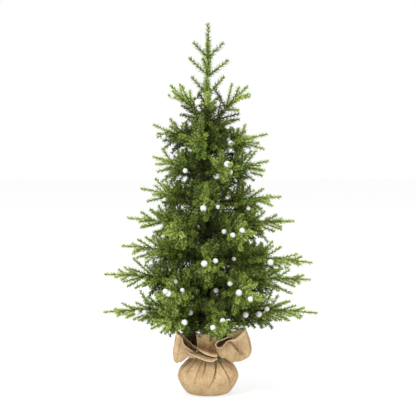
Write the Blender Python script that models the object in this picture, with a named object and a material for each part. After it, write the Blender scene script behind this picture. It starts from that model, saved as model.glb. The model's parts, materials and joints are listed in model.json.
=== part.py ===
# Artificial tabletop tree in a burlap sack: a weighted base, a pole with branch rings,
# hooked branches that hinge on the rings, and a leader on top. Metres, +Z up, the front is -Y.
import math

import bmesh
import bpy
from mathutils import Matrix, Vector

SPREAD_RADIUS = 0.272  # reach of the longest branch from the axis
SEAT_GAP = 0.0003  # between pieces that touch

# Pole, its socket and the sleeve that holds the leader
POLE_RADIUS = 0.007
POLE_WALL = 0.0012
POLE_TOP = 0.690
SOCKET_WALL = 0.0018
SOCKET_BOTTOM = 0.014
SOCKET_TOP = 0.104
SOCKET_FLOOR = 0.003
SLEEVE_WALL = 0.0018
SLEEVE_LENGTH = 0.034
ROUND_SIDES = 16

# Cast weight and the burlap sack round it
SACK_WALL = 0.0022
SACK_SIDES = 36
SACK_BASE_RADIUS = 0.048
SACK_RADIUS = 0.0745
NECK_BOTTOM = 0.087
NECK_TOP = 0.098
NECK_RADIUS = 0.042
# Height and radius from the base to the neck, as shares of the neck's top and of the sack's radius
SACK_BODY = ((0.06, 0.78), (0.20, 0.90), (0.45, 1.0), (0.63, 0.92), (0.79, 0.725))
GATHERS = 9
GATHER_DEPTH = 0.0018
WEIGHT_CLEARANCE = 0.0014
WEIGHT_SIDES = 24
TIE_RADIUS = 0.0014
TIE_POINTS = 26
TIE_TAIL = 0.016
TIE_TURN = math.radians(28)  # from the front to the tie's tails

# Collar: the sack's loose mouth. At each angle from +X, four points from the neck to the hem,
# as shares of its reach and of its height
COLLAR_RADIUS = 0.100
COLLAR_TOP = 0.150
COLLAR_STEPS = 8
COLLAR = (
    (0, ((0.55, 0.68), (0.97, 0.57), (1.08, 0.73), (0.94, 1.00))),
    (30, ((0.54, 0.69), (0.83, 0.62), (0.90, 0.75), (0.78, 0.97))),
    (60, ((0.54, 0.68), (0.89, 0.58), (0.98, 0.70), (0.82, 0.93))),
    (90, ((0.53, 0.69), (0.68, 0.66), (0.70, 0.75), (0.66, 0.83))),
    (120, ((0.54, 0.68), (0.87, 0.58), (0.94, 0.70), (0.78, 0.91))),
    (150, ((0.54, 0.69), (0.79, 0.63), (0.82, 0.76), (0.72, 0.95))),
    (180, ((0.54, 0.68), (0.85, 0.56), (0.90, 0.71), (0.76, 1.00))),
    (205, ((0.55, 0.67), (0.89, 0.53), (0.97, 0.69), (0.80, 1.01))),
    (228, ((0.54, 0.68), (0.83, 0.57), (0.88, 0.69), (0.74, 0.85))),
    (246, ((0.53, 0.68), (0.68, 0.62), (0.72, 0.67), (0.67, 0.73))),
    (262, ((0.52, 0.67), (0.64, 0.59), (0.60, 0.69), (0.54, 0.94))),
    (276, ((0.52, 0.67), (0.64, 0.58), (0.58, 0.69), (0.52, 0.96))),
    (290, ((0.47, 0.69), (0.52, 0.72), (0.49, 0.80), (0.43, 0.91))),
    (304, ((0.52, 0.68), (0.65, 0.66), (0.64, 0.76), (0.50, 0.89))),
    (320, ((0.55, 0.68), (0.91, 0.55), (0.97, 0.70), (0.80, 0.92))),
    (340, ((0.56, 0.67), (1.03, 0.54), (1.14, 0.70), (0.94, 1.00))),
)

# Tinsel wound on the pole between the rings
GARLAND_RADIUS = 0.022
GARLAND_END_RADIUS = 0.013
GARLAND_SLOPE = 0.010  # length over which each end narrows
GARLAND_GAP = 0.012  # clear of each ring, for the hooks to turn
GARLAND_LOW = 0.150

# Branch rings: a core on the pole, arms, and a wire rim that the branch hooks turn on
CORE_WALL = 0.003
CORE_HEIGHT = 0.010
RIM_RADIUS = 0.0155  # from the pole's axis to the middle of a straight side
RIM_WIRE = 0.0015
ARM_WIDTH = 0.0045
ARM_HEIGHT = 0.004
RING_LOW = 0.194
RING_TOP_GAP = 0.031  # from the top ring to the pole's top

# Branches
HOOK_CLEARANCE = 0.0004
HOOK_WALL = 0.0018
HOOK_WIDTH = 0.005
HOOK_SIDES = 6
WIRE_HALF = 0.0016  # bare wire next to the hook
BARE_LENGTH = 0.010
STEM_HALF_WIDTH = 0.0078  # stem with its needles
STEM_HALF_HEIGHT = 0.0062
STEM_BOW = 0.035  # rise of the stem's middle over its chord, per length
STEM_SAMPLE = 0.01  # share of the stem over which its direction is taken
TIP_HALF = 0.0026
TWIG_START = 0.030  # from the hook to the first side twig
TWIG_PITCH = 0.020
TWIG_END = 0.046  # bare tip past the last side twig
TWIG_HALF = 0.0072
TWIG_WIDEST = 0.5  # share of its length
TWIG_FLATNESS = 0.8  # height to width
TWIG_LENGTH = 0.024
TWIG_GAIN = 0.26  # longer twigs further from the tip
TWIG_ANGLE = math.radians(48)
TWIG_DROOP = math.radians(11)
TWIG_SECTOR = 0.46  # share of the way to the next branch that a twig may fill
TOP_TWIG_LENGTH = 0.034  # on top of the stem, beside every second side twig
TOP_TWIG_ANGLE = math.radians(50)
TOP_TWIG_SLOPE = 0.8  # steeper stems carry none, to clear the leader

# The branches of each ring, from the lowest up: azimuth in degrees from +X, then the reach
# from the axis and the rise of the tip over the ring, as shares of the spread
RINGS = (
    ((0, 0.978, 0.007), (58, 0.868, 0.037), (120, 0.882, 0.044), (181, 0.930, 0.018),
     (234, 0.831, -0.015), (279, 0.853, -0.022)),
    ((21, 1.000, 0.013), (90, 0.816, 0.043), (168, 0.949, 0.087), (236, 0.787, 0.006), (304, 0.809, 0.000)),
    ((346, 0.941, 0.004), (60, 0.757, 0.063), (126, 0.765, 0.092), (190, 0.772, 0.144), (270, 0.728, 0.019)),
    ((14, 0.794, 0.083), (88, 0.654, 0.128), (166, 0.743, 0.113), (234, 0.632, 0.054), (308, 0.640, 0.047)),
    ((354, 0.647, 0.082), (98, 0.559, 0.156), (184, 0.596, 0.156), (268, 0.551, 0.104)),
    ((24, 0.588, 0.132), (116, 0.493, 0.191), (202, 0.515, 0.213), (294, 0.485, 0.161)),
    ((350, 0.529, 0.152), (76, 0.419, 0.211), (168, 0.493, 0.233), (254, 0.404, 0.182)),
    ((14, 0.353, 0.327), (92, 0.265, 0.290), (166, 0.331, 0.335), (270, 0.257, 0.283)),
)

# Leader: its length over the pole, then the rise and length of each whorl of four twigs, as
# shares of that length, and the twigs' lift
LEADER_LENGTH = 0.210
LEADER_HALF = 0.0085
LEADER_WHORL_SPAN = 0.016
LEADER_WHORLS = ((0.124, 0.257, 0.95), (0.343, 0.238, 0.85), (0.524, 0.210, 0.90))

FOLIAGE_GREEN = (0.10, 0.19, 0.03)
LEADER_GREEN = (0.16, 0.28, 0.05)
TINSEL_GREEN = (0.04, 0.08, 0.015)
BURLAP_TAN = (0.50, 0.34, 0.18)
TIE_GREEN = (0.07, 0.12, 0.03)
STEEL_GREEN = (0.03, 0.06, 0.025)
RING_BROWN = (0.05, 0.035, 0.02)
SOCKET_GREY = (0.35, 0.35, 0.36)
CEMENT_GREY = (0.42, 0.41, 0.39)


def clear_scene():
    for item in list(bpy.data.objects):
        bpy.data.objects.remove(item, do_unlink=True)


def make_material(name, colour, roughness, metallic=0.0):
    material = bpy.data.materials.new(name)
    material.use_nodes = True
    shader = material.node_tree.nodes["Principled BSDF"]
    shader.inputs["Base Color"].default_value = (*colour, 1.0)
    shader.inputs["Roughness"].default_value = roughness
    shader.inputs["Metallic"].default_value = metallic
    return material


def add_piece(name, bm, material, smooth_angle=None):
    bmesh.ops.recalc_face_normals(bm, faces=bm.faces[:])
    mesh = bpy.data.meshes.new(name)
    bm.to_mesh(mesh)
    bm.free()
    if smooth_angle is not None:
        mesh.shade_smooth()
        mesh.set_sharp_from_angle(angle=math.radians(smooth_angle))
    mesh.materials.append(material)
    piece = bpy.data.objects.new(name, mesh)
    bpy.context.scene.collection.objects.link(piece)
    return piece


def turned(outline, sides):
    """Turns an outline of (radius, height) points about Z; points on the axis are merged."""
    bm = bmesh.new()
    points = [bm.verts.new((radius, 0.0, height)) for radius, height in outline]
    edges = [bm.edges.new(pair) for pair in zip(points, points[1:])]
    if min(outline[0][0], outline[-1][0]) > 0.0:
        edges.append(bm.edges.new((points[-1], points[0])))
    bmesh.ops.spin(bm, geom=points + edges, cent=(0, 0, 0), axis=(0, 0, 1),
                   angle=math.tau, steps=sides, use_merge=True)
    bmesh.ops.remove_doubles(bm, verts=bm.verts[:], dist=1e-6)
    return bm


def make_pole():
    bottom = SOCKET_BOTTOM + SOCKET_FLOOR + SEAT_GAP
    bore = POLE_RADIUS - POLE_WALL
    outline = ((bore, POLE_TOP), (POLE_RADIUS, POLE_TOP), (POLE_RADIUS, bottom), (bore, bottom))
    return add_piece("trunk_pole", turned(outline, ROUND_SIDES),
                     make_material("pole_paint", STEEL_GREEN, 0.5, 0.3), 40)


def socket_radius():
    return POLE_RADIUS + SEAT_GAP + SOCKET_WALL


def make_socket():
    bore = POLE_RADIUS + SEAT_GAP
    floor = SOCKET_BOTTOM + SOCKET_FLOOR
    outline = ((0, floor), (bore, floor), (bore, SOCKET_TOP), (socket_radius(), SOCKET_TOP),
               (socket_radius(), SOCKET_BOTTOM), (0, SOCKET_BOTTOM))
    return add_piece("trunk_socket", turned(outline, ROUND_SIDES),
                     make_material("socket_steel", SOCKET_GREY, 0.35, 1.0), 40)


def make_sleeve():
    bore = POLE_RADIUS + SEAT_GAP
    low = POLE_TOP - SLEEVE_LENGTH / 2
    high = POLE_TOP + SLEEVE_LENGTH / 2
    outer = bore + SLEEVE_WALL
    outline = ((bore, low), (bore, high), (outer, high), (outer, low))
    return add_piece("leader_sleeve", turned(outline, ROUND_SIDES),
                     make_material("sleeve_plastic", RING_BROWN, 0.55), 40)


def sack_body():
    """Height and radius of the sack from its base to the neck."""
    return [(height * NECK_TOP, radius * SACK_RADIUS) for height, radius in SACK_BODY]


def make_weight():
    shrink = SACK_WALL + WEIGHT_CLEARANCE
    bore = socket_radius() + SEAT_GAP
    bore_floor = SOCKET_BOTTOM - SEAT_GAP
    bottom = SACK_WALL + SEAT_GAP
    top = NECK_TOP
    neck = NECK_RADIUS - GATHER_DEPTH - shrink
    outline = [(0, bottom), (SACK_BASE_RADIUS - 2 * shrink, bottom)]
    outline += [(radius - shrink - GATHER_DEPTH, height) for height, radius in sack_body()]
    outline += [(neck, NECK_BOTTOM), (neck, top), (bore, top), (bore, bore_floor), (0, bore_floor)]
    return add_piece("base_weight", turned(outline, WEIGHT_SIDES),
                     make_material("cast_cement", CEMENT_GREY, 0.9), 40)


def collar_points(angle):
    """The neck and the collar's points at any angle, eased between the two nearest keys."""
    degrees = math.degrees(angle) % 360
    index = max(number for number, (key, points) in enumerate(COLLAR) if key <= degrees)
    low, first = COLLAR[index]
    high, second = COLLAR[(index + 1) % len(COLLAR)]
    part = (degrees - low) / ((high - low) % 360)
    ease = part * part * (3 - 2 * part)
    points = [Vector((NECK_RADIUS, NECK_TOP))]
    for start, end in zip(first, second):
        share = Vector(start).lerp(Vector(end), ease)
        points.append(Vector((share.x * COLLAR_RADIUS, share.y * COLLAR_TOP)))
    return points


def collar_point(angle, step):
    """Radius and height on a smooth curve through the collar's points."""
    points = collar_points(angle)
    place = step / COLLAR_STEPS * (len(points) - 1)
    index = min(int(place), len(points) - 2)
    part = place - index
    before = points[max(index - 1, 0)]
    first, second = points[index], points[index + 1]
    after = points[min(index + 2, len(points) - 1)]
    curve = 2 * before - 5 * first + 4 * second - after
    swing = 3 * first - before - 3 * second + after
    return (2 * first + (second - before) * part + curve * part ** 2 + swing * part ** 3) / 2


def gather(angle, height):
    """How far the pleats stand out at this height: none at the belly, full at the neck."""
    belly = max(sack_body(), key=lambda point: point[1])[0]
    share = min(max((height - belly) / (NECK_BOTTOM - belly), 0.0), 1.0)
    return GATHER_DEPTH * share * math.cos(GATHERS * angle)


def make_sack():
    bm = bmesh.new()
    ring = bmesh.ops.create_circle(bm, cap_ends=True, segments=SACK_SIDES, radius=SACK_BASE_RADIUS)
    angles = [math.atan2(vert.co.y, vert.co.x) for vert in ring["verts"]]
    verts = ring["verts"]
    body = [*sack_body(), (NECK_BOTTOM, NECK_RADIUS), (NECK_TOP, NECK_RADIUS)]
    places = [[(radius + gather(angle, height), height) for angle in angles] for height, radius in body]
    for step in range(1, COLLAR_STEPS + 1):
        row = []
        for angle in angles:
            radius, height = collar_point(angle, step)
            fade = (1 - step / COLLAR_STEPS) ** 2
            row.append((radius + fade * gather(angle, NECK_TOP), height))
        places.append(row)
    for row in places:
        edges = list({edge for vert in verts for edge in vert.link_edges
                      if edge.other_vert(vert) in verts and len(edge.link_faces) == 1})
        found = {vert: index for index, vert in enumerate(verts)}
        new = bmesh.ops.extrude_edge_only(bm, edges=edges)["geom"]
        rising = [item for item in new if isinstance(item, bmesh.types.BMVert)]
        ordered = [None] * len(verts)
        for vert in rising:
            below = next(edge.other_vert(vert) for edge in vert.link_edges if edge.other_vert(vert) in found)
            ordered[found[below]] = vert
        for vert, angle, (radius, height) in zip(ordered, angles, row):
            vert.co = (radius * math.cos(angle), radius * math.sin(angle), height)
        verts = ordered
    sack = add_piece("burlap_sack", bm, make_material("burlap", BURLAP_TAN, 0.95), 50)
    wall = sack.modifiers.new("wall", "SOLIDIFY")
    wall.thickness = SACK_WALL
    wall.offset = -1.0
    return sack


def make_tie():
    """A wire tie: one turn round the gathered neck, climbing past itself, with two twisted-out tails."""
    turn = (NECK_RADIUS + GATHER_DEPTH + SEAT_GAP + TIE_RADIUS) / math.cos(math.pi / TIE_POINTS)
    climb = 3 * TIE_RADIUS
    low = (NECK_BOTTOM + NECK_TOP - climb) / 2
    route = []
    for index in range(TIE_POINTS + 1):
        share = index / TIE_POINTS
        angle = math.tau * share - math.pi / 2 + TIE_TURN
        route.append((turn * math.cos(angle), turn * math.sin(angle), low + climb * share))
    first = Vector(route[0])
    last = Vector(route[-1])
    outward = Vector((math.sin(TIE_TURN), -math.cos(TIE_TURN), 0))
    away = TIE_TAIL * outward - Vector((0, 0, TIE_TAIL / 2))
    apart = TIE_TAIL / 3 * outward.orthogonal().normalized()
    apart.z = 0.0
    route.insert(0, first + away - apart)
    route.append(last + away + apart)
    curve = bpy.data.curves.new("neck_tie", "CURVE")
    curve.dimensions = "3D"
    curve.bevel_depth = TIE_RADIUS
    curve.bevel_resolution = 1
    curve.use_fill_caps = True
    spline = curve.splines.new("POLY")
    spline.points.add(len(route) - 1)
    for point, place in zip(spline.points, route):
        point.co = (*place, 1.0)
    curve.materials.append(make_material("tie_wire", TIE_GREEN, 0.5))
    tie = bpy.data.objects.new("neck_tie", curve)
    bpy.context.scene.collection.objects.link(tie)
    return tie


def make_garland(number, low, high, material):
    """One length of the tinsel on the pole, as the envelope of its needles."""
    bore = POLE_RADIUS + SEAT_GAP
    outline = ((bore, low), (GARLAND_END_RADIUS, low), (GARLAND_RADIUS, low + GARLAND_SLOPE),
               (GARLAND_RADIUS, high - GARLAND_SLOPE), (GARLAND_END_RADIUS, high), (bore, high))
    return add_piece(f"pole_garland_{number}", turned(outline, ROUND_SIDES), material)


def rim_corners(azimuths):
    """Corner azimuth and half turn between each branch and the next one round the ring."""
    corners = []
    for index, azimuth in enumerate(azimuths):
        following = azimuths[(index + 1) % len(azimuths)]
        half = math.radians((following - azimuth) % 360) / 2
        corners.append((math.radians(azimuth) + half, half))
    return corners


def wire_rim(corners):
    """The rim: a wire bent to straight sides, one side square to each branch."""
    bm = bmesh.new()
    rings = []
    for azimuth, half in corners:
        outward = Vector((math.cos(azimuth), math.sin(azimuth), 0))
        spot = outward * (RIM_RADIUS / math.cos(half))
        place = Matrix((outward / math.cos(half), (0, 0, 1), outward.cross((0, 0, 1)))).transposed().to_4x4()
        place.translation = spot
        ring = bmesh.ops.create_circle(bm, segments=HOOK_SIDES, radius=RIM_WIRE, matrix=place)["verts"]
        rings.append(list({edge for vert in ring for edge in vert.link_edges}))
    for index, ring in enumerate(rings):
        bmesh.ops.bridge_loops(bm, edges=ring + rings[(index + 1) % len(rings)])
    return bm


def ring_arms(corners):
    bm = bmesh.new()
    inside = POLE_RADIUS + SEAT_GAP + CORE_WALL / 2
    for azimuth, half in corners:
        length = RIM_RADIUS / math.cos(half) - inside
        place = Matrix.Rotation(azimuth, 4, "Z") @ Matrix.Translation((inside + length / 2, 0, 0))
        stretch = Matrix.Diagonal((length, ARM_WIDTH, ARM_HEIGHT, 1))
        bmesh.ops.create_cube(bm, size=1.0, matrix=place @ stretch)
    return bm


def make_ring(number, height, azimuths, material):
    bore = POLE_RADIUS + SEAT_GAP
    half = CORE_HEIGHT / 2
    outline = ((bore, -half), (bore, half), (bore + CORE_WALL, half), (bore + CORE_WALL, -half))
    ring = add_piece(f"branch_ring_{number}", turned(outline, ROUND_SIDES), material, 40)
    corners = rim_corners(azimuths)
    ring.location.z = height
    for label, shape in (("arms", ring_arms(corners)), ("rim", wire_rim(corners))):
        helper = add_piece(f"{label}_{number}", shape, material)
        helper.parent = ring
        helper.hide_render = True
        helper.display_type = "WIRE"
        join = ring.modifiers.new(label, "BOOLEAN")
        join.operation = "UNION"
        join.object = helper
    return ring


def extrude_to(bm, face, centre, side, up, half_side, half_up):
    """Extrudes a four-sided face and sets its corners round a new centre."""
    old = face.calc_center_median()
    new = bmesh.ops.extrude_discrete_faces(bm, faces=[face])["faces"][0]
    for vert in new.verts:
        across = half_side if (vert.co - old).dot(side) > 0 else -half_side
        along = half_up if (vert.co - old).dot(up) > 0 else -half_up
        vert.co = centre + side * across + up * along
    return new


def wall_towards(face, direction):
    """The wall behind an extruded face that looks furthest along a direction."""
    walls = [other for edge in face.edges for other in edge.link_faces if other is not face]
    centre = face.calc_center_median()
    return max(walls, key=lambda wall: (wall.calc_center_median() - centre).dot(direction))


def grow_twig(bm, wall, heading, up, length):
    """Draws a wall of the stem out into a side twig: widest at its middle, narrow at its tip."""
    root = wall.calc_center_median()
    side = heading.cross(up).normalized()
    top = side.cross(heading).normalized()
    widest = root + heading * (TWIG_WIDEST * length)
    face = extrude_to(bm, wall, widest, side, top, TWIG_HALF, TWIG_FLATNESS * TWIG_HALF)
    extrude_to(bm, face, root + heading * length, side, top, TIP_HALF, TIP_HALF)


def make_hook():
    """The wire hook that turns on the ring's rim, as a ring with one face square to the stem."""
    bm = bmesh.new()
    hole = (RIM_WIRE + HOOK_CLEARANCE) / math.cos(math.pi / HOOK_SIDES)
    outer = hole + HOOK_WALL
    half = HOOK_WIDTH / 2
    turn = Matrix.Rotation(math.pi / HOOK_SIDES, 3, "Y")
    corners = ((hole, -half), (outer, -half), (outer, half), (hole, half))
    points = [bm.verts.new(turn @ Vector((radius, width, 0))) for radius, width in corners]
    edges = [bm.edges.new((points[index - 1], points[index])) for index in range(4)]
    bmesh.ops.spin(bm, geom=points + edges, cent=(0, 0, 0), axis=(0, 1, 0),
                   angle=math.tau, steps=HOOK_SIDES, use_merge=True)
    bmesh.ops.remove_doubles(bm, verts=bm.verts[:], dist=1e-6)
    return bm


def stem_point(tip, share):
    """A point of the bowed stem, from the hook at share 0 to the tip at share 1."""
    lift = 4 * STEM_BOW * tip.length * share * (1 - share)
    return tip * share + Vector((0, 0, lift))


def twig_reach(distance, remaining, sector):
    free = TWIG_SECTOR * sector * (distance + RIM_RADIUS) / math.sin(TWIG_ANGLE)
    return min(TWIG_LENGTH + TWIG_GAIN * remaining, free)


def make_branch(name, tip, sector, material):
    """One branch along local +X: hook, bare wire, needled stem and side twigs on alternate sides."""
    bm = make_hook()
    length = tip.length
    start = stem_point(tip, 2 * STEM_SAMPLE).normalized()
    bmesh.ops.rotate(bm, verts=bm.verts[:], matrix=Matrix.Rotation(-math.asin(start.z), 3, "Y"))
    face = max(bm.faces, key=lambda item: item.calc_center_median().dot(start))
    side = Vector((0, 1, 0))

    def section(face, distance, half_side, half_up):
        share = distance / length
        ahead = (stem_point(tip, share + STEM_SAMPLE) - stem_point(tip, share - STEM_SAMPLE)).normalized()
        up = ahead.cross(side)
        return extrude_to(bm, face, stem_point(tip, share), side, up, half_side, half_up), ahead, up

    face, ahead, up = section(face, BARE_LENGTH, WIRE_HALF, WIRE_HALF)
    face, ahead, up = section(face, TWIG_START, STEM_HALF_WIDTH, STEM_HALF_HEIGHT)
    count = max(int((length - TWIG_START - TWIG_END) / TWIG_PITCH), 1)
    for index in range(count):
        distance = TWIG_START + (index + 1) * TWIG_PITCH
        face, ahead, up = section(face, distance, STEM_HALF_WIDTH, STEM_HALF_HEIGHT)
        hand = side if index % 2 else -side
        reach = twig_reach(distance, length - distance, sector)
        level = ahead * math.cos(TWIG_ANGLE) + hand * math.sin(TWIG_ANGLE)
        heading = level * math.cos(TWIG_DROOP) - up * math.sin(TWIG_DROOP)
        grow_twig(bm, wall_towards(face, hand), heading, up, reach)
        if index % 2 == 0 and tip.z < TOP_TWIG_SLOPE * tip.x:
            rising = ahead * math.cos(TOP_TWIG_ANGLE) + up * math.sin(TOP_TWIG_ANGLE)
            grow_twig(bm, wall_towards(face, up), rising, -ahead, TOP_TWIG_LENGTH)
    section(face, length, TIP_HALF, TIP_HALF)
    return add_piece(name, bm, material)


def place_branches(number, height, rows, material):
    azimuths = [azimuth for azimuth, reach, rise in rows]
    for index, (azimuth, reach, rise) in enumerate(rows):
        ahead = (azimuths[(index + 1) % len(rows)] - azimuth) % 360
        behind = (azimuth - azimuths[index - 1]) % 360
        tip = Vector((reach * SPREAD_RADIUS - RIM_RADIUS, 0, rise * SPREAD_RADIUS))
        sector = math.tan(math.radians(min(ahead, behind) / 2))
        branch = make_branch(f"branch_{number}{'abcdef'[index]}", tip, sector, material)
        turn = math.radians(azimuth)
        branch.location = (RIM_RADIUS * math.cos(turn), RIM_RADIUS * math.sin(turn), height)
        branch.rotation_euler.z = turn


def make_leader():
    """The top shoot: a peg in the sleeve, then a needled stem with whorls of four twigs."""
    bm = bmesh.new()
    low = POLE_TOP + SEAT_GAP
    high = POLE_TOP + SLEEVE_LENGTH / 2
    half = POLE_RADIUS * math.cos(math.pi / 4)
    place = Matrix.Translation((0, 0, (low + high) / 2))
    stretch = Matrix.Diagonal((2 * half, 2 * half, high - low, 1))
    bmesh.ops.create_cube(bm, size=1.0, matrix=place @ stretch)
    face = max(bm.faces, key=lambda item: item.calc_center_median().z)
    side = Vector((1, 0, 0))
    back = Vector((0, 1, 0))
    upright = Vector((0, 0, 1))
    slim = LEADER_HALF * math.cos(math.pi / 4)
    for rise, length, lift in LEADER_WHORLS:
        height = POLE_TOP + rise * LEADER_LENGTH
        for level in (height, height + LEADER_WHORL_SPAN):
            face = extrude_to(bm, face, upright * level, side, back, slim, slim)
        for outward in (side, -side, back, -back):
            heading = (outward + upright * lift).normalized()
            grow_twig(bm, wall_towards(face, outward), heading, (upright - outward).normalized(),
                      length * LEADER_LENGTH)
    extrude_to(bm, face, upright * (POLE_TOP + LEADER_LENGTH), side, back, TIP_HALF, TIP_HALF)
    return add_piece("leader", bm, make_material("leader_needles", LEADER_GREEN, 0.6))


def main():
    clear_scene()
    make_weight()
    make_socket()
    make_sack()
    make_tie()
    make_pole()
    make_sleeve()
    make_leader()
    ring_plastic = make_material("ring_plastic", RING_BROWN, 0.6)
    needles = make_material("needles", FOLIAGE_GREEN, 0.6)
    tinsel = make_material("pole_tinsel", TINSEL_GREEN, 0.7)
    pitch = (POLE_TOP - RING_TOP_GAP - RING_LOW) / (len(RINGS) - 1)
    low = GARLAND_LOW
    for number, rows in enumerate(RINGS, 1):
        height = RING_LOW + (number - 1) * pitch
        make_garland(number, low, height - GARLAND_GAP, tinsel)
        low = height + GARLAND_GAP
        make_ring(number, height, [row[0] for row in rows], ring_plastic)
        place_branches(number, height, rows, needles)


main()
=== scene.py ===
import json
import math
import random

import bmesh
import bpy
from mathutils import Matrix, Vector, noise

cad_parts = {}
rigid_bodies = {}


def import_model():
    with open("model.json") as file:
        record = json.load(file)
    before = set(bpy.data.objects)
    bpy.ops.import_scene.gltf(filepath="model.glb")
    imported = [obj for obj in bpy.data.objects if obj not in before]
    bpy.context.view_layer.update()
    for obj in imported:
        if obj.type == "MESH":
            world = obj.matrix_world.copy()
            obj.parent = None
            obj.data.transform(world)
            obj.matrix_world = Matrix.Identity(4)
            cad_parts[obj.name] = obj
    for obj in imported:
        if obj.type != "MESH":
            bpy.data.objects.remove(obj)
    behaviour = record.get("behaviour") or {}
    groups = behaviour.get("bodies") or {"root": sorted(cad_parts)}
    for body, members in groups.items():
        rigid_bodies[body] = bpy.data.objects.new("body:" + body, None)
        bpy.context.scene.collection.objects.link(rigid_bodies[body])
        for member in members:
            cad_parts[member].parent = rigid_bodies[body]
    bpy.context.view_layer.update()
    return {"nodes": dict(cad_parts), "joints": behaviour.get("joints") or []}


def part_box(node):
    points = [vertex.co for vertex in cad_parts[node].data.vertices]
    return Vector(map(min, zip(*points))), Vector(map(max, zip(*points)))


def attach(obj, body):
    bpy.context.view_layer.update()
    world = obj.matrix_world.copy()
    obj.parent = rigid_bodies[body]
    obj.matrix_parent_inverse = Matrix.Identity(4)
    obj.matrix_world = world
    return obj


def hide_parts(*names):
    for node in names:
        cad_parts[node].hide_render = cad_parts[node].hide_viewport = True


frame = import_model()
scene = bpy.context.scene
up = Vector((0, 0, 1))
print("frame loaded:", len(frame["nodes"]), "nodes")

# camera, at the photograph's angle
shot = {
    "target": Vector((0.0, 0.0, 0.4535)),
    "distance": 4.2,
    "elevation": math.radians(6.0),
    "metresPerPixel": 0.00242,  # at the tree's axis
    "pixels": 416,
    "sensor": 36.0,
}


def addCamera():
    lens = bpy.data.cameras.new("camera")
    lens.sensor_width = shot["sensor"]
    lens.lens = shot["sensor"] * shot["distance"] / (shot["metresPerPixel"] * shot["pixels"])
    camera = bpy.data.objects.new("camera", lens)
    scene.collection.objects.link(camera)
    back = Vector((0, -math.cos(shot["elevation"]), math.sin(shot["elevation"])))
    camera.location = shot["target"] + back * shot["distance"]
    camera.rotation_euler = (-back).to_track_quat("-Z", "Y").to_euler()
    scene.camera = camera


def pointAt(pixel, depth):
    # the model point behind a pixel, at this Y
    half = shot["pixels"] / 2
    ahead = Vector((0, math.cos(shot["elevation"]), -math.sin(shot["elevation"])))
    above = Vector((0, math.sin(shot["elevation"]), math.cos(shot["elevation"])))
    start = shot["target"] - ahead * shot["distance"]
    step = shot["metresPerPixel"] / shot["distance"]
    ray = ahead + Vector((1, 0, 0)) * (pixel[0] - half) * step - above * (pixel[1] - half) * step
    return start + ray * ((depth - start.y) / ray.y)


# shader maths: one socket, written as an expression
class Sock:
    def __init__(self, tree, socket):
        self.tree = tree
        self.socket = socket

    def node(self, kind, settings=None, **inputs):
        made = self.tree.nodes.new(kind)
        for name, value in (settings or {}).items():
            if name == "stops":
                ramp = made.color_ramp.elements
                while len(ramp) < len(value):
                    ramp.new(0.5)
                for stop, (place, colour) in zip(ramp, value):
                    stop.position = place
                    stop.color = colour
            else:
                setattr(made, name, value)
        for name, value in inputs.items():
            key = int(name[1:]) if name[1:].isdigit() else name  # i0 is the first socket
            if isinstance(value, Sock):
                self.tree.links.new(value.socket, made.inputs[key])
            else:
                made.inputs[key].default_value = value
        return made

    def out(self, made, name=0):
        return Sock(self.tree, made.outputs[name])

    def maths(self, operation, other, swap=False):
        first, second = (other, self) if swap else (self, other)
        return self.out(self.node("ShaderNodeMath", {"operation": operation}, i0=first, i1=second))

    def __add__(self, other):
        return self.maths("ADD", other)

    __radd__ = __add__

    def __mul__(self, other):
        return self.maths("MULTIPLY", other)

    __rmul__ = __mul__

    def __sub__(self, other):
        return self.maths("SUBTRACT", other)

    def __rsub__(self, other):
        return self.maths("SUBTRACT", other, True)


def newMaterial(name, colour, roughness, metallic=0.0):
    material = bpy.data.materials.new(name)
    material.use_nodes = True
    shader = material.node_tree.nodes["Principled BSDF"]
    shader.inputs["Base Color"].default_value = (*colour, 1)
    shader.inputs["Roughness"].default_value = roughness
    shader.inputs["Metallic"].default_value = metallic
    return material, shader, Sock(material.node_tree, None)


def link(sock, shader, name):
    sock.tree.links.new(sock.socket, shader.inputs[name])


def objectPlace(maker):
    return maker.out(maker.node("ShaderNodeTexCoord"), "Object")


def noiseOf(maker, place, scale, detail=3.0, roughness=0.55):
    made = maker.node("ShaderNodeTexNoise", None, Vector=place, Scale=scale, Detail=detail,
                      Roughness=roughness)
    return maker.out(made, "Fac")


def rampOf(maker, value, stops):
    return maker.out(maker.node("ShaderNodeValToRGB", {"stops": stops}, Fac=value))


def grainMaterial(name, colour, roughness, scale, tones, metallic=0.0):
    # a finish whose colour varies with fine noise
    material, shader, maker = newMaterial(name, colour, roughness, metallic)
    grain = noiseOf(maker, objectPlace(maker), scale)
    link(rampOf(maker, grain, tones), shader, "Base Color")
    return material, shader, grain


def facesOf(made):
    return {face for vert in made["verts"] for face in vert.link_faces}


def turnTo(axis):
    return axis.to_track_quat("Z", "Y").to_matrix().to_4x4()


def addPiece(name, bm, materials, body, smooth=False):
    mesh = bpy.data.meshes.new(name)
    bm.to_mesh(mesh)
    bm.free()
    for material in materials:
        mesh.materials.append(material)
    if smooth:
        mesh.shade_smooth()
    piece = bpy.data.objects.new(name, mesh)
    scene.collection.objects.link(piece)
    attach(piece, body)
    return piece


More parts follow.
